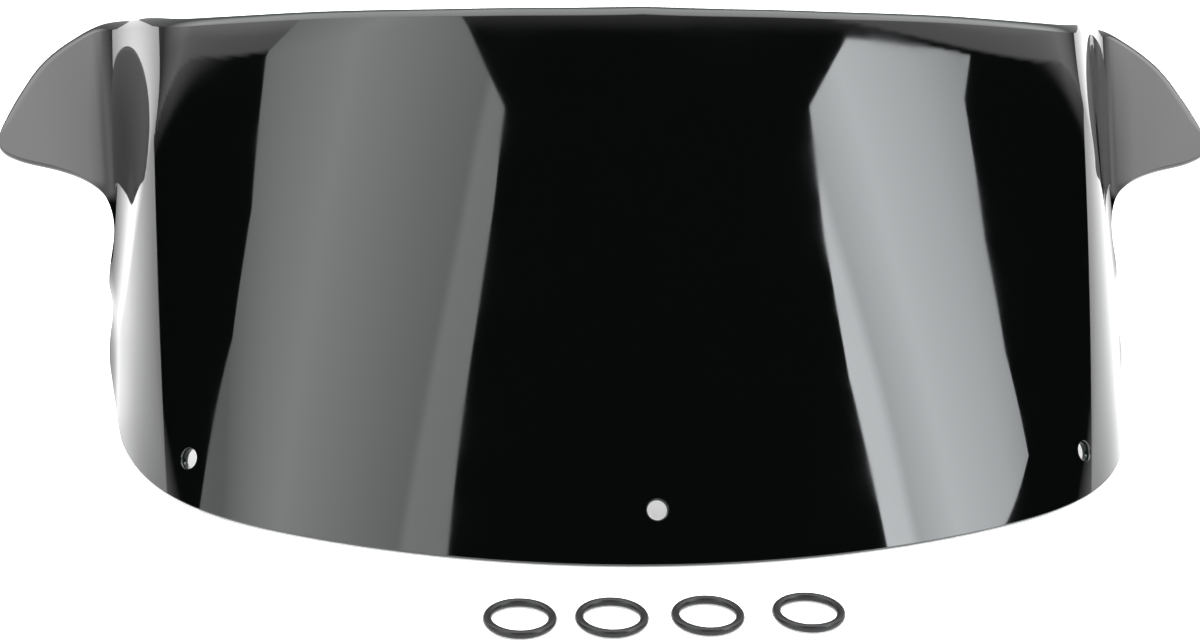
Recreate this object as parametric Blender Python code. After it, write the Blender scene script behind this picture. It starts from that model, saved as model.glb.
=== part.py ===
"""Flared fairing windshield with its four rubber mounting rings.

The screen is one sheet of dark acrylic, formed hot over a mould. Its blank is
flat: a point of the blank has a distance s along the width, measured from the
middle, and a height h above the bottom edge. The outline, the three mounting
holes and the mesh are laid out on the blank, and form() then bends it: the
sides wrap back, the upper corners flare out into ears, the top leans back in a
brim, and the rear margin flares out near the bottom.

Frame: metres, +Z up, the screen's front faces -Y, and +X is to the right of
someone who looks at the front. The origin is on the ground, under the front of
the bottom edge.
"""
import math

import bpy
import numpy as np
from mathutils import Vector
from mathutils.geometry import delaunay_2d_cdt

# The sheet.
THICKNESS = 0.0048
RAKE = 0.638               # how far back the screen leans for each metre of height
RAKE_GROWTH = 0.344        # the lean grows by twice this for each metre of height
TOP_HEIGHT = 0.2217        # of the middle of the top edge

# The wrap of the sides: the direction of the sheet in plan, in degrees from +X.
CENTRE_TURN = 138.6        # degrees for each metre of width near the middle
WRAP_TURN = 30.6           # extra degrees round each side
WRAP_START = 0.175
WRAP_END = 0.305

# The ears: the sheet turns out again past the side wall.
EAR_MIDDLE = 0.3325        # s of the middle of the bend at the ear's root
EAR_BEND_LOW = 0.0225      # half the bend's width low down, where it is tight
EAR_BEND_TOP = 0.1100      # half the bend's width at the top, where it is wide
EAR_SHIFT = 0.0080         # how much nearer the middle the bend is at the top
EAR_TURN = 78.0            # degrees by which the direction turns back
EAR_LOW = 0.040            # height where the turn begins
EAR_HIGH = 0.101           # height from which it is full
EAR_TOP = 0.240            # height from which the bend is at its widest

# The brim: above a curve across the sheet, it leans back more, most of all in the ears.
BRIM_TOP = 0.2180          # height where the brim starts, at the middle
BRIM_DROP = 0.035          # how much lower it starts at the shoulders
BRIM_EAR_DROP = 0.145      # and how much lower still at the ears
BRIM_LEAN = 0.18           # extra lean of the brim at the middle
BRIM_EAR_LEAN = 0.49       # extra lean of the ears
BRIM_BEND = 0.010          # height over which the lean sets in
SHOULDER_START = 0.05      # s over which the brim's start comes down to the shoulders
SHOULDER_END = 0.25
EAR_LEAN_START = 0.230     # s over which the brim turns into the lean of the ears
EAR_LEAN_END = 0.336

# The rear margin near the bottom, which turns out a little.
HIP_START = 0.325
HIP_END = 0.352
HIP_TURN = 24.0
HIP_LOW = 0.0216           # it is full below this height
HIP_HIGH = 0.054           # and gone above this one

# The blank's outline, right half.
REAR_EDGE = 0.348          # s of the rear edge of the side wall
CORNER_RADIUS = 0.040      # of the lower rear corner
SIDE_TOP = 0.056           # height where the rear edge begins to draw in under the ear
EAR_TIP = 0.3935           # s of the outermost point of the ear
EAR_TIP_HEIGHT = 0.1125
OUTLINE_STEP = 0.007

# The mounting holes.
HOLE_RADIUS = 0.0045
HOLE_HEIGHT = 0.0217
SIDE_HOLE_HEIGHT = 0.0190
SIDE_HOLE = 0.2313         # s of the two side holes
HOLE_CENTRES = [(-SIDE_HOLE, SIDE_HOLE_HEIGHT), (0.0, HOLE_HEIGHT), (SIDE_HOLE, SIDE_HOLE_HEIGHT)]
HOLE_SIDES = 20
LAND_RADIUS = 0.0100       # the flat land round each hole
LAND_SIDES = 24

GRID = 0.0135              # spacing of the mesh inside the outline

# The mounting rings, which lie in a row in front of the screen.
RING_RADIUS = 0.01425     # to the middle of the rubber
RING_SECTION = 0.0020
RING_SIDES = 32
RING_SECTION_SIDES = 10
RING_PLACES = [(-0.0660, -0.0503), (-0.0257, -0.0506), (0.0167, -0.0500), (0.0618, -0.0485)]
RING_LIFT = 0.0001         # clearance above the ground


def smooth_step(value, start, end):
    """0 before start, 1 after end, with a smooth change between them."""
    share = np.clip((value - start) / (end - start), 0.0, 1.0)
    return share * share * (3.0 - 2.0 * share)


def heading(s, h):
    """The sheet's direction in plan, in radians from +X, at s >= 0."""
    wrap = CENTRE_TURN * s + WRAP_TURN * smooth_step(s, WRAP_START, WRAP_END)
    top = smooth_step(h, EAR_LOW, EAR_TOP)
    bend = EAR_BEND_LOW + (EAR_BEND_TOP - EAR_BEND_LOW) * top
    middle = EAR_MIDDLE - EAR_SHIFT * top
    ear = EAR_TURN * smooth_step(s, middle - bend, middle + bend)
    ear = ear * smooth_step(h, EAR_LOW, EAR_HIGH)
    hip = HIP_TURN * smooth_step(s, HIP_START, HIP_END)
    hip = hip * (1.0 - smooth_step(h, HIP_LOW, HIP_HIGH))
    return np.radians(wrap - ear - hip)


def lean(s, h):
    """How far back the sheet is at a height, at s >= 0."""
    shoulder = smooth_step(s, SHOULDER_START, SHOULDER_END)
    ear = smooth_step(s, EAR_LEAN_START, EAR_LEAN_END)
    start = BRIM_TOP - BRIM_DROP * shoulder - BRIM_EAR_DROP * ear
    above = np.maximum(h - start, 0.0)
    extra = BRIM_LEAN + (BRIM_EAR_LEAN - BRIM_LEAN) * ear
    brim = extra * (above - BRIM_BEND * (1.0 - np.exp(-above / BRIM_BEND)))
    return RAKE * h + RAKE_GROWTH * h ** 2 + brim


def form(s, h):
    """Bend blank points into the middle surface of the sheet."""
    side = np.sign(s)
    steps = 160
    along = (np.arange(steps) + 0.5) / steps
    reach = np.abs(s)
    turn = heading(reach[:, None] * along[None, :], h[:, None])
    x = side * np.cos(turn).mean(axis=1) * reach
    y = np.sin(turn).mean(axis=1) * reach + lean(reach, h)
    return np.stack([x, y, h], axis=1)


def form_normal(s, h):
    """Unit normals of the middle surface, pointing to the front."""
    small = 0.0004
    across = form(s + small, h) - form(s - small, h)
    up = form(s, h + small) - form(s, h - small)
    normal = np.cross(across, up)
    return normal / np.linalg.norm(normal, axis=1)[:, None]


def arc(centre, radius, start, end, count):
    """Points on an arc, with angles in degrees."""
    angles = np.radians(np.linspace(start, end, count))
    return [(centre[0] + radius * math.cos(a), centre[1] + radius * math.sin(a)) for a in angles]


def through(points, step):
    """A smooth open curve through a few points, resampled at about one step."""
    points = np.array(points)
    padded = np.vstack([2 * points[0] - points[1], points, 2 * points[-1] - points[-2]])
    curve = []
    for a, b, c, d in zip(padded, padded[1:], padded[2:], padded[3:]):
        for t in np.arange(0.0, 1.0, 0.05):
            curve.append(0.5 * ((2 * b) + (c - a) * t + (2 * a - 5 * b + 4 * c - d) * t ** 2
                                + (3 * b - a - 3 * c + d) * t ** 3))
    curve.append(points[-1])
    curve = np.array(curve)
    length = np.concatenate([[0.0], np.cumsum(np.linalg.norm(np.diff(curve, axis=0), axis=1))])
    count = max(2, round(length[-1] / step) + 1)
    places = np.linspace(0.0, length[-1], count)
    return [(float(np.interp(p, length, curve[:, 0])), float(np.interp(p, length, curve[:, 1])))
            for p in places]


def half_outline():
    """The right half of the blank's outline, from the bottom middle to the top middle."""
    bottom = through([(0.0, 0.0), (REAR_EDGE - CORNER_RADIUS, 0.0)], OUTLINE_STEP)
    corner = arc((REAR_EDGE - CORNER_RADIUS, CORNER_RADIUS), CORNER_RADIUS, -90, 0, 8)
    side = through([(REAR_EDGE, CORNER_RADIUS), (REAR_EDGE, SIDE_TOP)], OUTLINE_STEP)
    waist = [
        (REAR_EDGE, SIDE_TOP),
        (REAR_EDGE - 0.010, 0.069),
        (REAR_EDGE - 0.017, 0.080),
        (REAR_EDGE - 0.018, 0.088),
        (REAR_EDGE - 0.013, 0.095),
    ]
    lower_edge = [
        (REAR_EDGE - 0.001, 0.1005),
        (REAR_EDGE + 0.014, 0.1042),
        (EAR_TIP - 0.011, 0.1075),
    ]
    outer_edge = [
        (EAR_TIP - 0.001, EAR_TIP_HEIGHT - 0.001),
        (EAR_TIP - 0.001, EAR_TIP_HEIGHT + 0.006),
        (EAR_TIP - 0.012, 0.1340),
        (EAR_TIP - 0.027, 0.1490),
        (EAR_TIP - 0.051, 0.1625),
        (EAR_TIP - 0.084, 0.1755),
    ]
    top_edge = [
        (0.260, 0.1945),
        (0.170, 0.2105),
        (0.080, 0.2188),
        (0.0, TOP_HEIGHT),
    ]
    ear = through(waist + lower_edge + outer_edge + top_edge, OUTLINE_STEP)
    return bottom[:-1] + corner[:-1] + side[:-1] + ear


def blank_outline():
    """The whole outline, counter-clockwise."""
    right = half_outline()
    left = [(-s, h) for s, h in reversed(right[1:-1])]
    return right + left


def hole_loop(centre, radius, sides):
    """A loop on the blank that form() turns into a circle round a hole's centre."""
    s, h = np.array([centre[0]]), np.array([centre[1]])
    small = 0.0005
    along = (form(s + small, h) - form(s - small, h))[0] / (2 * small)
    up = (form(s, h + small) - form(s, h - small))[0] / (2 * small)
    slant = float(up @ along)
    stretch = math.sqrt(float(up @ up) - slant ** 2)
    circle = arc((0.0, 0.0), radius, 0, 360, sides + 1)[:-1]
    return [(centre[0] + across - slant * rise / stretch, centre[1] + rise / stretch)
            for across, rise in circle]


def inside(point, loop):
    """Whether a blank point is inside a closed loop."""
    x, y = point
    crossings = False
    for (ax, ay), (bx, by) in zip(loop, loop[1:] + loop[:1]):
        if (ay > y) != (by > y) and x < (bx - ax) * (y - ay) / (by - ay) + ax:
            crossings = not crossings
    return crossings


def distance_to(point, loop):
    """The distance from a blank point to the nearest corner or side of a loop."""
    a = np.array(loop)
    b = np.roll(a, -1, axis=0)
    p = np.array(point)
    along = np.clip(((p - a) * (b - a)).sum(axis=1) / ((b - a) ** 2).sum(axis=1), 0.0, 1.0)
    nearest = a + (b - a) * along[:, None]
    return float(np.min(np.linalg.norm(nearest - p, axis=1)))


def blank_mesh():
    """Triangles on the blank: points, faces, and the loops that bound them."""
    outline = blank_outline()
    holes = [hole_loop(centre, HOLE_RADIUS, HOLE_SIDES) for centre in HOLE_CENTRES]
    lands = [hole_loop(centre, LAND_RADIUS, LAND_SIDES) for centre in HOLE_CENTRES]
    margins = [hole_loop(centre, LAND_RADIUS + 0.4 * GRID, LAND_SIDES) for centre in HOLE_CENTRES]
    points = []
    edges = []
    for loop in [outline] + holes + lands:
        first = len(points)
        points += loop
        edges += [(first + i, first + (i + 1) % len(loop)) for i in range(len(loop))]
    columns = round(EAR_TIP / GRID)
    rows = round(TOP_HEIGHT / GRID)
    for column in range(-columns, columns + 1):
        for row in range(rows + 1):
            point = (column * GRID, row * GRID)
            if not inside(point, outline) or distance_to(point, outline) < 0.45 * GRID:
                continue
            if any(inside(point, margin) for margin in margins):
                continue
            points.append(point)
    flat = [Vector(point) for point in points]
    result = delaunay_2d_cdt(flat, edges, [], 0, 1e-7)
    places = [tuple(p) for p in result[0]]
    faces = []
    for face in result[2]:
        middle = tuple(np.mean([places[i] for i in face], axis=0))
        if inside(middle, outline) and not any(inside(middle, hole) for hole in holes):
            faces.append(list(face))
    return places, faces


def flatten_land(middle, normals, centre):
    """Bring the land round one hole, with its normals, onto one plane."""
    place = form(np.array([centre[0]]), np.array([centre[1]]))[0]
    normal = form_normal(np.array([centre[0]]), np.array([centre[1]]))[0]
    near = np.linalg.norm(middle - place, axis=1) < LAND_RADIUS + 0.0005
    offset = (middle[near] - place) @ normal
    middle[near] -= offset[:, None] * normal
    normals[near] = normal


def make_material(name, colour, roughness, metallic=0.0):
    material = bpy.data.materials.new(name)
    material.use_nodes = True
    shader = material.node_tree.nodes["Principled BSDF"]
    shader.inputs["Base Color"].default_value = (*colour, 1.0)
    shader.inputs["Roughness"].default_value = roughness
    shader.inputs["Metallic"].default_value = metallic
    return material


def make_object(name, vertices, faces, material):
    mesh = bpy.data.meshes.new(name)
    mesh.from_pydata([tuple(v) for v in vertices], [], faces)
    mesh.validate()
    mesh.shade_smooth()
    mesh.set_sharp_from_angle(angle=math.radians(35))
    mesh.materials.append(material)
    piece = bpy.data.objects.new(name, mesh)
    bpy.context.scene.collection.objects.link(piece)
    return piece


def make_screen():
    """The sheet, from its front and back surfaces and the walls that join them."""
    places, faces = blank_mesh()
    s = np.array([p[0] for p in places])
    h = np.array([p[1] for p in places])
    middle = form(s, h)
    normals = form_normal(s, h)
    on_bottom = (h < 1e-6)
    for centre in HOLE_CENTRES:
        flatten_land(middle, normals, centre)
    front = middle + normals * THICKNESS / 2
    back = middle - normals * THICKNESS / 2
    # The bottom edge is trimmed to one level plane.
    for surface, sign in ((front, 1.0), (back, -1.0)):
        level = normals[on_bottom] * [1.0, 1.0, 0.0]
        level /= np.linalg.norm(level, axis=1)[:, None]
        surface[on_bottom] = middle[on_bottom] + level * sign * THICKNESS / 2
    count = len(places)
    vertices = np.vstack([front, back])
    # The normal points to -Y where a face runs counter-clockwise on the blank.
    solid = [list(face) for face in faces]
    solid += [[count + i for i in reversed(face)] for face in faces]
    sides = {}
    for face in faces:
        for a, b in zip(face, face[1:] + face[:1]):
            sides[(a, b)] = True
    for a, b in sides:
        if (b, a) not in sides:
            solid.append([a, count + a, count + b])
            solid.append([a, count + b, b])
    material = make_material("smoked_acrylic", (0.004, 0.005, 0.005), 0.04)
    return make_object("screen", vertices, solid, material)


def make_ring(number, place, material):
    """One rubber ring, which lies flat."""
    vertices = []
    for turn in range(RING_SIDES):
        around = 2 * math.pi * turn / RING_SIDES
        for step in range(RING_SECTION_SIDES):
            angle = 2 * math.pi * step / RING_SECTION_SIDES
            radius = RING_RADIUS + RING_SECTION * math.cos(angle)
            vertices.append((radius * math.cos(around), radius * math.sin(around),
                             RING_SECTION * math.sin(angle)))
    faces = []
    for turn in range(RING_SIDES):
        following = (turn + 1) % RING_SIDES
        for step in range(RING_SECTION_SIDES):
            after = (step + 1) % RING_SECTION_SIDES
            faces.append([
                turn * RING_SECTION_SIDES + step,
                following * RING_SECTION_SIDES + step,
                following * RING_SECTION_SIDES + after,
                turn * RING_SECTION_SIDES + after,
            ])
    ring = make_object("mounting_ring_%d" % number, vertices, faces, material)
    ring.location = (place[0], place[1], RING_SECTION + RING_LIFT)
    return ring


def main():
    for old in list(bpy.data.objects):
        bpy.data.objects.remove(old, do_unlink=True)
    make_screen()
    rubber = make_material("black_rubber", (0.012, 0.012, 0.012), 0.45)
    for number, place in enumerate(RING_PLACES, start=1):
        make_ring(number, place, rubber)


main()
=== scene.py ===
"""Looks of the flared fairing windshield and its rubber mounting rings.

The CAD solids give every place and size. The screen's fine surface is made the
way the real one is: a flat blank, laid out as distance s along the width from
the middle and height h above the bottom edge, is bent by form() into the wrapped
sides, the flared ears, the brim that leans back along the top, and the
turned-out rear margin. Its rim and its mounting holes are rounded and polished.
"""
import math

import bpy
import numpy as np
from mathutils import Matrix, Vector
from mathutils.geometry import delaunay_2d_cdt


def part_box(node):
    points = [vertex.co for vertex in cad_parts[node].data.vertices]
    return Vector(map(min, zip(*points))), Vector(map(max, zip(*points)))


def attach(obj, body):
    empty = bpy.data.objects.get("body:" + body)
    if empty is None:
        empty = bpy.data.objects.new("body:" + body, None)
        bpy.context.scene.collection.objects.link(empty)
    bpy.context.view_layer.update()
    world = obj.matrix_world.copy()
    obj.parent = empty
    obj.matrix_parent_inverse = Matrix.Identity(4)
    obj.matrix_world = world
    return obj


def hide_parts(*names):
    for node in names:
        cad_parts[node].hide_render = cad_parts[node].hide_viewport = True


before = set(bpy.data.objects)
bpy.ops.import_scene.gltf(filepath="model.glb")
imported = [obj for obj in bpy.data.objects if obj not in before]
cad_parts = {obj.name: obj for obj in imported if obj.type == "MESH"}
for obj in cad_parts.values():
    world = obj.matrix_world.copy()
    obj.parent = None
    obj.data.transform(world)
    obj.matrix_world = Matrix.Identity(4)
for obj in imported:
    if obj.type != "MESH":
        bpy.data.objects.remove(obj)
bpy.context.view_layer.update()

# The sheet. Lengths are in metres, turns in degrees in plan, leans in metres back per metre up.
THICKNESS = 0.0048
RAKE = 0.638
RAKE_GROWTH = 0.344
TOP_HEIGHT = 0.2217
CENTRE_TURN = 138.6
WRAP_TURN = 30.6
WRAP_START = 0.175
WRAP_END = 0.305
EAR_MIDDLE = 0.3325
EAR_BEND_LOW = 0.0225
EAR_BEND_TOP = 0.1100
EAR_SHIFT = 0.0080         # how much nearer the middle the bend is at the top
EAR_TURN = 78.0
EAR_LOW = 0.040
EAR_HIGH = 0.101
EAR_TOP = 0.240
BRIM_TOP = 0.2180
BRIM_DROP = 0.035
BRIM_EAR_DROP = 0.145
BRIM_LEAN = 0.18
BRIM_EAR_LEAN = 0.49
BRIM_BEND = 0.010
SHOULDER_START = 0.05
SHOULDER_END = 0.25
EAR_LEAN_START = 0.230
EAR_LEAN_END = 0.336
HIP_START = 0.325
HIP_END = 0.352
HIP_TURN = 24.0
HIP_LOW = 0.0216
HIP_HIGH = 0.054

# The blank's outline and holes.
REAR_EDGE = 0.348
CORNER_RADIUS = 0.040
SIDE_TOP = 0.056
EAR_TIP = 0.3935
EAR_TIP_HEIGHT = 0.1125
HOLE_RADIUS = 0.0045
HOLE_HEIGHT = 0.0217
SIDE_HOLE = 0.2313
SIDE_HOLE_HEIGHT = 0.0190
HOLE_CENTRES = [(-SIDE_HOLE, SIDE_HOLE_HEIGHT), (0.0, HOLE_HEIGHT), (SIDE_HOLE, SIDE_HOLE_HEIGHT)]

# The fine mesh.
GRID = 0.0024
OUTLINE_CLEARANCE = 0.45    # kept free of grid points inside the outline's rim, in grid steps
HOLE_CLEARANCE = 0.30       # the same round a hole
MERGE_DISTANCE = 1e-9
OUTLINE_STEP = 0.0022
HOLE_SIDES = 56
RIM_WIDTH = 0.0050          # of the polished rim along the top and the ears
EDGE_WIDTH = 0.0007         # of the broken edge everywhere else
RIM_START = 0.114           # height on the ear where the polished rim begins
RIM_FULL = 0.126
RIM_SHARES = [0.02, 0.07, 0.16, 0.30, 0.48, 0.72, 1.0]
RIM_FACE = 1.06             # where the face proper begins, in rim widths
RIM_CREASE = 0.22           # how sharply the rim meets the face, as a share of its height
HOLE_RIM_WIDTH = 0.0007
RIM_TINT_START = 0.20       # from the middle to here the rim is fully green
RIM_TINT_END = 0.31         # and from here on, on the ears, it isn't


def smooth_step(value, start, end):
    """0 before start, 1 after end, with a smooth change between them."""
    share = np.clip((value - start) / (end - start), 0.0, 1.0)
    return share * share * (3.0 - 2.0 * share)


def heading(s, h):
    """The sheet's direction in plan, in radians from +X, at s >= 0."""
    wrap = CENTRE_TURN * s + WRAP_TURN * smooth_step(s, WRAP_START, WRAP_END)
    top = smooth_step(h, EAR_LOW, EAR_TOP)
    bend = EAR_BEND_LOW + (EAR_BEND_TOP - EAR_BEND_LOW) * top
    middle = EAR_MIDDLE - EAR_SHIFT * top
    ear = EAR_TURN * smooth_step(s, middle - bend, middle + bend)
    ear = ear * smooth_step(h, EAR_LOW, EAR_HIGH)
    hip = HIP_TURN * smooth_step(s, HIP_START, HIP_END)
    hip = hip * (1.0 - smooth_step(h, HIP_LOW, HIP_HIGH))
    return np.radians(wrap - ear - hip)


def lean(s, h):
    """How far back the sheet is at a height, at s >= 0."""
    shoulder = smooth_step(s, SHOULDER_START, SHOULDER_END)
    ear = smooth_step(s, EAR_LEAN_START, EAR_LEAN_END)
    start = BRIM_TOP - BRIM_DROP * shoulder - BRIM_EAR_DROP * ear
    above = np.maximum(h - start, 0.0)
    extra = BRIM_LEAN + (BRIM_EAR_LEAN - BRIM_LEAN) * ear
    brim = extra * (above - BRIM_BEND * (1.0 - np.exp(-above / BRIM_BEND)))
    return RAKE * h + RAKE_GROWTH * h ** 2 + brim


def form(points):
    """Bend blank points into the middle surface of the sheet."""
    s, h = points[:, 0], points[:, 1]
    steps = 200
    along = (np.arange(steps) + 0.5) / steps
    reach = np.abs(s)
    turn = heading(reach[:, None] * along[None, :], h[:, None])
    x = np.sign(s) * np.cos(turn).mean(axis=1) * reach
    y = np.sin(turn).mean(axis=1) * reach + lean(reach, h)
    return np.stack([x, y, h], axis=1)


def unit(vectors):
    return vectors / np.linalg.norm(vectors, axis=1)[:, None]


def slopes(points):
    """How form() moves for a small step along s and along h, and the unit normal to the front."""
    small = 0.0004
    along = (form(points + [small, 0.0]) - form(points - [small, 0.0])) / (2 * small)
    up = (form(points + [0.0, small]) - form(points - [0.0, small])) / (2 * small)
    return along, up, unit(np.cross(along, up))


def arc(centre, radius, start, end, count):
    """Points on an arc, with angles in degrees."""
    angles = np.radians(np.linspace(start, end, count))
    return [(centre[0] + radius * math.cos(a), centre[1] + radius * math.sin(a)) for a in angles]


def through(points, step):
    """A smooth open curve through a few points, resampled at about one step."""
    points = np.array(points)
    padded = np.vstack([2 * points[0] - points[1], points, 2 * points[-1] - points[-2]])
    curve = []
    for a, b, c, d in zip(padded, padded[1:], padded[2:], padded[3:]):
        for t in np.arange(0.0, 1.0, 0.02):
            curve.append(0.5 * ((2 * b) + (c - a) * t + (2 * a - 5 * b + 4 * c - d) * t ** 2
                                + (3 * b - a - 3 * c + d) * t ** 3))
    curve.append(points[-1])
    curve = np.array(curve)
    length = np.concatenate([[0.0], np.cumsum(np.linalg.norm(np.diff(curve, axis=0), axis=1))])
    count = max(2, round(length[-1] / step) + 1)
    places = np.linspace(0.0, length[-1], count)
    return [(float(np.interp(p, length, curve[:, 0])), float(np.interp(p, length, curve[:, 1])))
            for p in places]


def half_outline():
    """The right half of the blank's outline, from the bottom middle to the top middle."""
    bottom = through([(0.0, 0.0), (REAR_EDGE - CORNER_RADIUS, 0.0)], OUTLINE_STEP)
    corner = arc((REAR_EDGE - CORNER_RADIUS, CORNER_RADIUS), CORNER_RADIUS, -90, 0, 28)
    side = through([(REAR_EDGE, CORNER_RADIUS), (REAR_EDGE, SIDE_TOP)], OUTLINE_STEP)
    waist = [
        (REAR_EDGE, SIDE_TOP),
        (REAR_EDGE - 0.010, 0.069),
        (REAR_EDGE - 0.017, 0.080),
        (REAR_EDGE - 0.018, 0.088),
        (REAR_EDGE - 0.013, 0.095),
    ]
    lower_edge = [
        (REAR_EDGE - 0.001, 0.1005),
        (REAR_EDGE + 0.014, 0.1042),
        (EAR_TIP - 0.011, 0.1075),
    ]
    outer_edge = [
        (EAR_TIP - 0.001, EAR_TIP_HEIGHT - 0.001),
        (EAR_TIP - 0.001, EAR_TIP_HEIGHT + 0.006),
        (EAR_TIP - 0.012, 0.1340),
        (EAR_TIP - 0.027, 0.1490),
        (EAR_TIP - 0.051, 0.1625),
        (EAR_TIP - 0.084, 0.1755),
    ]
    top_edge = [
        (0.260, 0.1945),
        (0.170, 0.2105),
        (0.080, 0.2188),
        (0.0, TOP_HEIGHT),
    ]
    ear = through(waist + lower_edge + outer_edge + top_edge, OUTLINE_STEP)
    return bottom[:-1] + corner[:-1] + side[:-1] + ear


def blank_outline():
    """The whole outline, counter-clockwise."""
    right = half_outline()
    left = [(-s, h) for s, h in reversed(right[1:-1])]
    return np.array(right + left)


def hole_loop(centre, radius):
    """A loop on the blank, clockwise, that form() turns into a circle round a hole's centre."""
    along, up, _ = slopes(np.array([centre]))
    slant = float(up[0] @ along[0])
    stretch = math.sqrt(float(up[0] @ up[0]) - slant ** 2)
    circle = arc((0.0, 0.0), radius, 0, -360, HOLE_SIDES + 1)[:-1]
    return np.array([(centre[0] + across - slant * rise / stretch, centre[1] + rise / stretch)
                     for across, rise in circle])


def inward(loop):
    """For each point of a loop, the blank step that moves 1 m into the sheet, and its direction in space."""
    tangent = np.roll(loop, -1, axis=0) - np.roll(loop, 1, axis=0)
    along, up, normal = slopes(loop)
    edge = unit(along * tangent[:, :1] + up * tangent[:, 1:])
    direction = np.cross(normal, edge)
    steps = []
    for a, b, d in zip(along, up, direction):
        steps.append(np.linalg.lstsq(np.stack([a, b], axis=1), d, rcond=None)[0])
    return np.array(steps), direction


def inside(points, loop):
    """Which blank points are inside a closed loop."""
    a = loop
    b = np.roll(loop, -1, axis=0)
    x, y = points[:, :1], points[:, 1:]
    spans = (a[:, 1] > y) != (b[:, 1] > y)
    rise = np.where(b[:, 1] == a[:, 1], 1e-12, b[:, 1] - a[:, 1])
    left = x < (b[:, 0] - a[:, 0]) * (y - a[:, 1]) / rise + a[:, 0]
    return (spans & left).sum(axis=1) % 2 == 1


def distance_to(points, loop):
    """The distance from each blank point to the nearest corner of a loop."""
    result = np.full(len(points), 1.0)
    for corner in loop:
        result = np.minimum(result, np.hypot(points[:, 0] - corner[0], points[:, 1] - corner[1]))
    return result


def rounded(share):
    """Half the sheet's thickness, as a share, at a share of the rim's width from the edge."""
    return (1.0 - RIM_CREASE) * math.sqrt(1.0 - (1.0 - share) ** 2) + RIM_CREASE * share


def rounded_slope(share):
    """How steeply rounded() rises."""
    return (1.0 - RIM_CREASE) * (1.0 - share) / math.sqrt(1.0 - (1.0 - share) ** 2) + RIM_CREASE


def make_screen(material):
    """The fine sheet: a triangle mesh on the blank, bent, with its thickness rounded off at the rim."""
    outline = blank_outline()
    polished = smooth_step(outline[:, 1], RIM_START, RIM_FULL)
    boundaries = [(outline, EDGE_WIDTH + (RIM_WIDTH - EDGE_WIDTH) * polished)]
    for centre in HOLE_CENTRES:
        boundaries.append((hole_loop(centre, HOLE_RADIUS), np.full(HOLE_SIDES, HOLE_RIM_WIDTH)))
    points, edges, shares, outwards, slants = [], [], [], [], []
    inner_loops = []
    for loop, width in boundaries:
        steps, direction = inward(loop)
        for share in RIM_SHARES + [RIM_FACE]:
            first = len(points)
            ring = loop + steps * (share * width)[:, None]
            count = len(ring)
            points += [tuple(p) for p in ring]
            edges += [(first + i, first + (i + 1) % count) for i in range(count)]
            shares += [min(share, 1.0)] * count
            outwards += [tuple(-d) for d in direction]
            steepness = rounded_slope(share) if share <= 1.0 else 0.0
            slants += list(steepness * (THICKNESS / 2) / width)
        inner_loops.append(ring)
    columns = round(EAR_TIP / GRID)
    rows = round(TOP_HEIGHT / GRID)
    grid = np.array([(column * GRID, row * GRID)
                     for column in range(-columns, columns + 1) for row in range(rows + 1)])
    grid = grid[inside(grid, inner_loops[0])]
    grid = grid[distance_to(grid, inner_loops[0]) > OUTLINE_CLEARANCE * GRID]
    for ring in inner_loops[1:]:
        grid = grid[~inside(grid, ring)]
        grid = grid[distance_to(grid, ring) > HOLE_CLEARANCE * GRID]
    points += [tuple(p) for p in grid]
    shares += [1.0] * len(grid)
    outwards += [(0.0, 0.0, 0.0)] * len(grid)
    slants += [0.0] * len(grid)
    result = delaunay_2d_cdt([Vector(p) for p in points], edges, [], 0, MERGE_DISTANCE)
    sources = [ids[0] for ids in result[3]]
    places = np.array([points[i] for i in sources])
    share = np.array([shares[i] for i in sources])
    outward = np.array([outwards[i] for i in sources])
    slant = np.array([slants[i] for i in sources])
    faces = np.array([list(face) for face in result[2]])
    middles = places[faces].mean(axis=1)
    keep = inside(middles, outline)
    for loop, _ in boundaries[1:]:
        keep &= ~inside(middles, loop)
    faces = faces[keep]

    middle = form(places)
    normal = slopes(places)[2]
    half = np.array([rounded(value) for value in share]) * THICKNESS / 2
    front = middle + normal * half[:, None]
    back = middle - normal * half[:, None]
    front_normal = unit(normal + outward * slant[:, None])
    back_normal = unit(-normal + outward * slant[:, None])
    count = len(places)
    solid = [tuple(int(i) for i in face) for face in faces]
    solid += [tuple(count + int(i) for i in reversed(face)) for face in faces]
    sides = {(a, b) for face in solid[:len(faces)] for a, b in zip(face, face[1:] + face[:1])}
    for a, b in sides:
        if (b, a) not in sides:
            solid.append((a, count + a, count + b, b))
    used = sorted({i for face in solid for i in face})
    renumber = {old: new for new, old in enumerate(used)}
    solid = [tuple(renumber[i] for i in face) for face in solid]
    vertices = np.vstack([front, back])[used]
    normals = np.vstack([front_normal, back_normal])[used]
    dark = (1.0 - share) * (1.0 - smooth_step(np.abs(places[:, 0]), RIM_TINT_START, RIM_TINT_END))
    rim = np.concatenate([dark, dark])[used]

    mesh = bpy.data.meshes.new("screen_sheet")
    mesh.from_pydata([tuple(v) for v in vertices], [], solid)
    mesh.shade_smooth()
    mesh.normals_split_custom_set_from_vertices([tuple(n) for n in normals])
    layer = mesh.attributes.new("rim", "FLOAT", "POINT")
    layer.data.foreach_set("value", rim.astype(np.float32))
    mesh.materials.append(material)
    piece = bpy.data.objects.new("screen_sheet", mesh)
    bpy.context.scene.collection.objects.link(piece)
    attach(piece, "screen")
    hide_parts("screen")
    return piece


ACRYLIC_IOR = 1.49
RUBBER_IOR = 1.52
BLACK_ACRYLIC = (0.0008, 0.0009, 0.0009, 1.0)
GREEN_RIM = (0.0035, 0.0095, 0.0075, 1.0)
DUST = (0.35, 0.35, 0.34, 1.0)
DARK_RUBBER = (0.0030, 0.0030, 0.0033, 1.0)
LIGHT_RUBBER = (0.0085, 0.0085, 0.0090, 1.0)
ACRYLIC_WAVE_DEPTH = 0.0011
RUBBER_GRAIN_DEPTH = 0.00012


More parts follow.
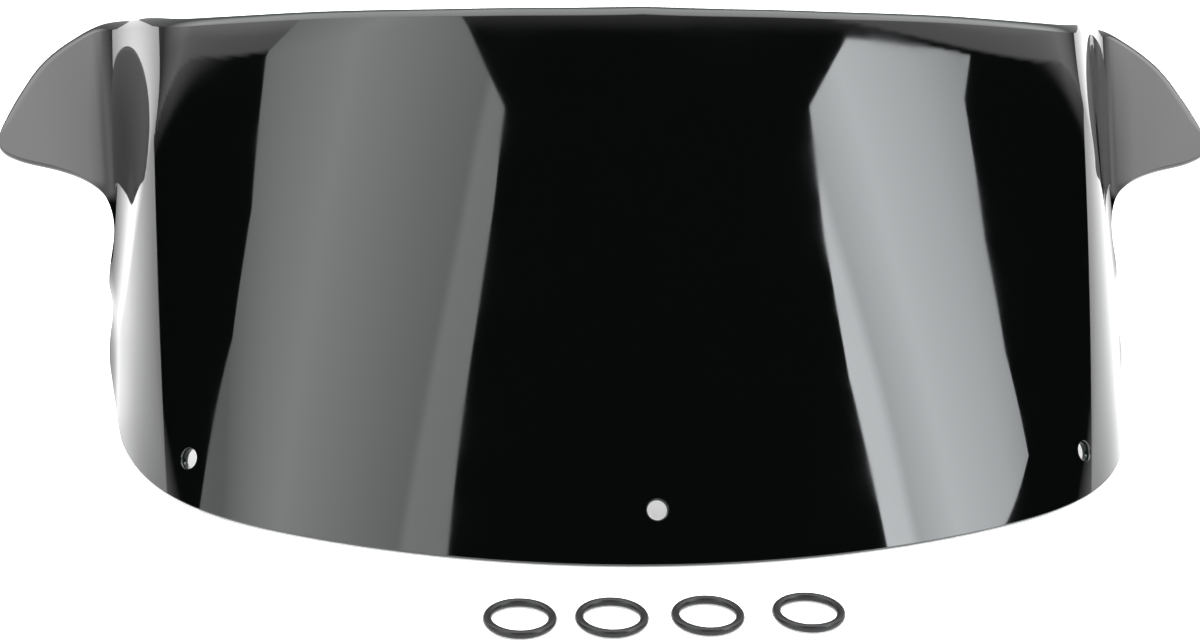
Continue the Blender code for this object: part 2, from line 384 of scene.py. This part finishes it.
def new_material(name):
    material = bpy.data.materials.new(name)
    material.use_nodes = True
    return material, material.node_tree.nodes, material.node_tree.links


def noise_node(nodes, links, coordinates, scale, detail, roughness=0.5):
    noise = nodes.new("ShaderNodeTexNoise")
    noise.inputs["Scale"].default_value = scale
    noise.inputs["Detail"].default_value = detail
    noise.inputs["Roughness"].default_value = roughness
    links.new(coordinates.outputs["Object"], noise.inputs["Vector"])
    return noise


def ramp_node(nodes, links, source, low, high, low_value, high_value):
    """Map a value range onto another, held at both ends."""
    ramp = nodes.new("ShaderNodeMapRange")
    ramp.inputs["From Min"].default_value = low
    ramp.inputs["From Max"].default_value = high
    ramp.inputs["To Min"].default_value = low_value
    ramp.inputs["To Max"].default_value = high_value
    links.new(source, ramp.inputs["Value"])
    return ramp


def acrylic_material():
    """Polished black acrylic: faint waviness from forming, fine haze, dust specks, a dark green rim."""
    material, nodes, links = new_material("smoked_acrylic")
    shader = nodes["Principled BSDF"]
    shader.inputs["IOR"].default_value = ACRYLIC_IOR
    coordinates = nodes.new("ShaderNodeTexCoord")

    rim = nodes.new("ShaderNodeAttribute")
    rim.attribute_name = "rim"
    tint = nodes.new("ShaderNodeMix")
    tint.data_type = "RGBA"
    tint.inputs["A"].default_value = BLACK_ACRYLIC
    tint.inputs["B"].default_value = GREEN_RIM
    links.new(rim.outputs["Fac"], tint.inputs["Factor"])
    dust = noise_node(nodes, links, coordinates, 1500.0, 2.0)
    specks = ramp_node(nodes, links, dust.outputs["Fac"], 0.775, 0.80, 0.0, 0.10)
    dusty = nodes.new("ShaderNodeMix")
    dusty.data_type = "RGBA"
    dusty.inputs["B"].default_value = DUST
    links.new(specks.outputs["Result"], dusty.inputs["Factor"])
    links.new(tint.outputs["Result"], dusty.inputs["A"])
    links.new(dusty.outputs["Result"], shader.inputs["Base Color"])

    haze = noise_node(nodes, links, coordinates, 22.0, 5.0, 0.6)
    roughness = ramp_node(nodes, links, haze.outputs["Fac"], 0.35, 0.72, 0.022, 0.060)
    links.new(roughness.outputs["Result"], shader.inputs["Roughness"])

    wave = noise_node(nodes, links, coordinates, 7.0, 1.5)
    bump = nodes.new("ShaderNodeBump")
    bump.inputs["Strength"].default_value = 0.25
    bump.inputs["Distance"].default_value = ACRYLIC_WAVE_DEPTH
    links.new(wave.outputs["Fac"], bump.inputs["Height"])
    links.new(bump.outputs["Normal"], shader.inputs["Normal"])
    return material


def rubber_material():
    """Moulded black rubber with a fine grain and a soft, uneven sheen."""
    material, nodes, links = new_material("black_rubber")
    shader = nodes["Principled BSDF"]
    shader.inputs["IOR"].default_value = RUBBER_IOR
    shader.inputs["Specular IOR Level"].default_value = 0.22
    coordinates = nodes.new("ShaderNodeTexCoord")
    tone = noise_node(nodes, links, coordinates, 260.0, 4.0)
    shade = nodes.new("ShaderNodeMix")
    shade.data_type = "RGBA"
    shade.inputs["A"].default_value = DARK_RUBBER
    shade.inputs["B"].default_value = LIGHT_RUBBER
    links.new(tone.outputs["Fac"], shade.inputs["Factor"])
    links.new(shade.outputs["Result"], shader.inputs["Base Color"])
    gloss = noise_node(nodes, links, coordinates, 120.0, 3.0)
    roughness = ramp_node(nodes, links, gloss.outputs["Fac"], 0.3, 0.7, 0.24, 0.40)
    links.new(roughness.outputs["Result"], shader.inputs["Roughness"])
    grain = noise_node(nodes, links, coordinates, 1900.0, 3.0)
    bump = nodes.new("ShaderNodeBump")
    bump.inputs["Strength"].default_value = 0.35
    bump.inputs["Distance"].default_value = RUBBER_GRAIN_DEPTH
    links.new(grain.outputs["Fac"], bump.inputs["Height"])
    links.new(bump.outputs["Normal"], shader.inputs["Normal"])
    return material


RING_SIDES = 144
RING_SECTION_SIDES = 40
FLASH_HEIGHT = 0.00010       # of the fine moulding line round the ring
FLASH_ANGLE = 0.10           # its half width, in radians of the section


def make_ring(number, material):
    """A moulded rubber ring with a fine parting line round its outside and its inside."""
    node = "mounting_ring_%d" % number
    low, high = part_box(node)
    centre = (low + high) / 2
    section = (high.z - low.z) / 2
    radius = (high.x - low.x) / 2 - section
    vertices = []
    for turn in range(RING_SIDES):
        around = 2 * math.pi * turn / RING_SIDES
        for step in range(RING_SECTION_SIDES):
            angle = 2 * math.pi * step / RING_SECTION_SIDES
            flash = FLASH_HEIGHT * math.exp(-(math.sin(angle) / FLASH_ANGLE) ** 2)
            reach = section + flash
            across = radius + reach * math.cos(angle)
            vertices.append((across * math.cos(around), across * math.sin(around),
                             reach * math.sin(angle)))
    faces = []
    for turn in range(RING_SIDES):
        following = (turn + 1) % RING_SIDES
        for step in range(RING_SECTION_SIDES):
            after = (step + 1) % RING_SECTION_SIDES
            faces.append((
                turn * RING_SECTION_SIDES + step,
                following * RING_SECTION_SIDES + step,
                following * RING_SECTION_SIDES + after,
                turn * RING_SECTION_SIDES + after,
            ))
    mesh = bpy.data.meshes.new("rubber_ring_%d" % number)
    mesh.from_pydata(vertices, [], faces)
    mesh.shade_smooth()
    mesh.materials.append(material)
    ring = bpy.data.objects.new("rubber_ring_%d" % number, mesh)
    ring.location = centre
    bpy.context.scene.collection.objects.link(ring)
    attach(ring, "ring_%d" % number)
    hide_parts(node)
    return ring


FLOOR_SIZE = 30.0            # half its side
FLOOR_DROP = 0.0002          # below the parts, so that no faces meet
FLOOR_GREY = 0.86
FLOOR_GLOW = 0.35


def make_floor():
    """A plain pale floor just under the screen, which glows a little itself."""
    mesh = bpy.data.meshes.new("floor")
    corners = [(-1.0, -1.0), (1.0, -1.0), (1.0, 1.0), (-1.0, 1.0)]
    mesh.from_pydata([(x * FLOOR_SIZE, y * FLOOR_SIZE, 0.0) for x, y in corners], [], [(0, 1, 2, 3)])
    material, nodes, _ = new_material("pale_floor")
    shader = nodes["Principled BSDF"]
    shader.inputs["Base Color"].default_value = (FLOOR_GREY, FLOOR_GREY, FLOOR_GREY, 1.0)
    shader.inputs["Roughness"].default_value = 0.9
    shader.inputs["Specular IOR Level"].default_value = 0.0
    shader.inputs["Emission Color"].default_value = (1.0, 1.0, 1.0, 1.0)
    shader.inputs["Emission Strength"].default_value = FLOOR_GLOW
    mesh.materials.append(material)
    floor = bpy.data.objects.new("floor", mesh)
    floor.location.z = -FLOOR_DROP
    bpy.context.scene.collection.objects.link(floor)


def soft_box(name, centre, right, up, corners, stops, colour):
    """A glowing panel with cut corners, brighter in some strips, which the camera doesn't see."""
    centre, right, up = Vector(centre), Vector(right), Vector(up)
    mesh = bpy.data.meshes.new(name)
    mesh.from_pydata([(u, v, 0.0) for u, v in corners], [], [tuple(range(len(corners)))])
    material, nodes, links = new_material(name)
    nodes.remove(nodes["Principled BSDF"])
    glow = nodes.new("ShaderNodeEmission")
    glow.inputs["Color"].default_value = (*colour, 1.0)
    coordinates = nodes.new("ShaderNodeTexCoord")
    parts = nodes.new("ShaderNodeSeparateXYZ")
    links.new(coordinates.outputs["Object"], parts.inputs["Vector"])
    across = ramp_node(nodes, links, parts.outputs["X"], stops[0][0], stops[-1][0], 0.0, 1.0)
    strips = nodes.new("ShaderNodeValToRGB")
    for _ in stops[2:]:
        strips.color_ramp.elements.new(0.5)
    for element, (place, level) in zip(strips.color_ramp.elements, stops):
        element.position = (place - stops[0][0]) / (stops[-1][0] - stops[0][0])
        element.color = (level, level, level, 1.0)
    links.new(across.outputs["Result"], strips.inputs["Fac"])
    links.new(strips.outputs["Color"], glow.inputs["Strength"])
    links.new(glow.outputs["Emission"], nodes["Material Output"].inputs["Surface"])
    mesh.materials.append(material)
    panel = bpy.data.objects.new(name, mesh)
    turn = Matrix((right, up, right.cross(up))).transposed()
    panel.matrix_world = Matrix.Translation(centre) @ turn.to_4x4()
    panel.visible_camera = False
    panel.visible_shadow = False
    bpy.context.scene.collection.objects.link(panel)


def make_lights():
    """One panel for each ear's reflection, with its corners and strips placed on the panel in metres."""
    left = dict(centre=(-0.99, -0.731, 1.023), right=(0.695, -0.719, 0.0), up=(0.443, 0.428, 0.788))
    soft_box("left_panel", corners=[(-1.20, -0.80), (0.62, -0.80), (0.50, 0.05), (0.45, 0.50), (0.42, 0.68),
                                    (0.22, 0.72), (-0.50, 0.72), (-0.52, 0.0), (-0.65, -0.27)],
             stops=[(-0.70, 2.3), (-0.15, 5.2), (0.20, 3.6), (0.33, 3.1), (0.36, 4.3), (0.50, 4.0)],
             colour=(0.97, 1.0, 1.0), **left)
    right = dict(centre=(1.136, -0.599, 0.982), right=(0.559, 0.829, 0.0), up=(-0.487, 0.329, 0.809))
    soft_box("right_panel", corners=[(-0.36, -0.50), (0.38, -0.47), (0.31, -0.25), (0.316, -0.06),
                                     (0.37, 0.16), (0.44, 0.20), (0.22, 0.35), (0.01, 0.51),
                                     (-0.19, 0.515), (-0.27, 0.31), (-0.33, 0.07)],
             stops=[(-0.35, 13.0), (-0.25, 12.5), (-0.21, 9.0), (-0.05, 11.5), (0.20, 9.0), (0.40, 6.0)],
             colour=(0.94, 0.98, 1.0), **right)


DOME_TILT = 1.15             # the dome's level follows DOME_TILT * Z + Y of a direction
DOME_STOPS = [(0.0, 0.0), (0.518, 0.0), (0.556, 1.5), (0.66, 1.7), (0.80, 4.6), (1.0, 5.6)]
BACK_START = 0.32            # towards the back, from this Y on, the dome fades
BACK_END = 0.62
BACK_SHARE = 0.12            # what is left of it there
GLOW_TILT = 0.40             # the low glow follows Z + GLOW_TILT * Y
GLOW_START = 0.12
GLOW_FULL = 0.02
GLOW_LEVEL = 3.0
BACKDROP_LEVEL = 0.93        # what the camera sees behind the floor


def make_surroundings():
    """The world: a bright dome above that fades towards the back, a dark band in front for the black
    of the screen, a glow low down, and plain white for the camera itself."""
    world = bpy.data.worlds.new("studio")
    bpy.context.scene.world = world
    world.use_nodes = True
    nodes, links = world.node_tree.nodes, world.node_tree.links
    background = nodes["Background"]
    coordinates = nodes.new("ShaderNodeTexCoord")
    parts = nodes.new("ShaderNodeSeparateXYZ")
    links.new(coordinates.outputs["Generated"], parts.inputs["Vector"])
    height = nodes.new("ShaderNodeMath")
    height.operation = "MULTIPLY_ADD"
    height.inputs[1].default_value = DOME_TILT
    links.new(parts.outputs["Z"], height.inputs[0])
    links.new(parts.outputs["Y"], height.inputs[2])
    dome = nodes.new("ShaderNodeValToRGB")
    dome.color_ramp.interpolation = "LINEAR"
    for place, _ in DOME_STOPS[2:]:
        dome.color_ramp.elements.new(place)
    for element, (place, level) in zip(dome.color_ramp.elements, DOME_STOPS):
        element.position = place
        element.color = (level, level, level, 1.0)
    links.new(height.outputs["Value"], dome.inputs["Fac"])
    behind = ramp_node(nodes, links, parts.outputs["Y"], BACK_START, BACK_END, 1.0, BACK_SHARE)
    bright = nodes.new("ShaderNodeMath")
    bright.operation = "MULTIPLY"
    links.new(dome.outputs["Color"], bright.inputs[0])
    links.new(behind.outputs["Result"], bright.inputs[1])
    slant = nodes.new("ShaderNodeMath")
    slant.operation = "MULTIPLY_ADD"
    slant.inputs[1].default_value = GLOW_TILT
    links.new(parts.outputs["Y"], slant.inputs[0])
    links.new(parts.outputs["Z"], slant.inputs[2])
    low = ramp_node(nodes, links, slant.outputs["Value"], GLOW_START, GLOW_FULL, 0.0, GLOW_LEVEL)
    fill = nodes.new("ShaderNodeMath")
    fill.operation = "ADD"
    links.new(low.outputs["Result"], fill.inputs[0])
    links.new(bright.outputs["Value"], fill.inputs[1])
    path = nodes.new("ShaderNodeLightPath")
    shown = nodes.new("ShaderNodeMix")
    shown.data_type = "FLOAT"
    links.new(path.outputs["Is Camera Ray"], shown.inputs["Factor"])
    links.new(fill.outputs["Value"], shown.inputs["A"])
    shown.inputs["B"].default_value = BACKDROP_LEVEL
    links.new(shown.outputs["Result"], background.inputs["Strength"])
    background.inputs["Color"].default_value = (1.0, 1.0, 1.0, 1.0)


def make_camera():
    """The camera stands to the left of the middle and above, and is rolled a little."""
    place = Vector((-0.1187, -0.9715, 0.5166))
    forward = Vector((0.0840, 0.9230, -0.3755)).normalized()
    right = Vector((0.9965, -0.0791, 0.0283))
    right = (right - forward * right.dot(forward)).normalized()
    up = right.cross(forward)
    data = bpy.data.cameras.new("camera")
    data.sensor_fit = "HORIZONTAL"
    data.sensor_width = 36.0
    data.lens = 72.0
    data.clip_start = 0.01
    camera = bpy.data.objects.new("camera", data)
    turn = Matrix((right, up, -forward)).transposed()
    camera.matrix_world = Matrix.Translation(place) @ turn.to_4x4()
    bpy.context.scene.collection.objects.link(camera)
    bpy.context.scene.camera = camera


bpy.context.scene.view_settings.view_transform = "Standard"
make_camera()
make_screen(acrylic_material())
rubber = rubber_material()
for number in range(1, 5):
    make_ring(number, rubber)
make_floor()
make_lights()
make_surroundings()
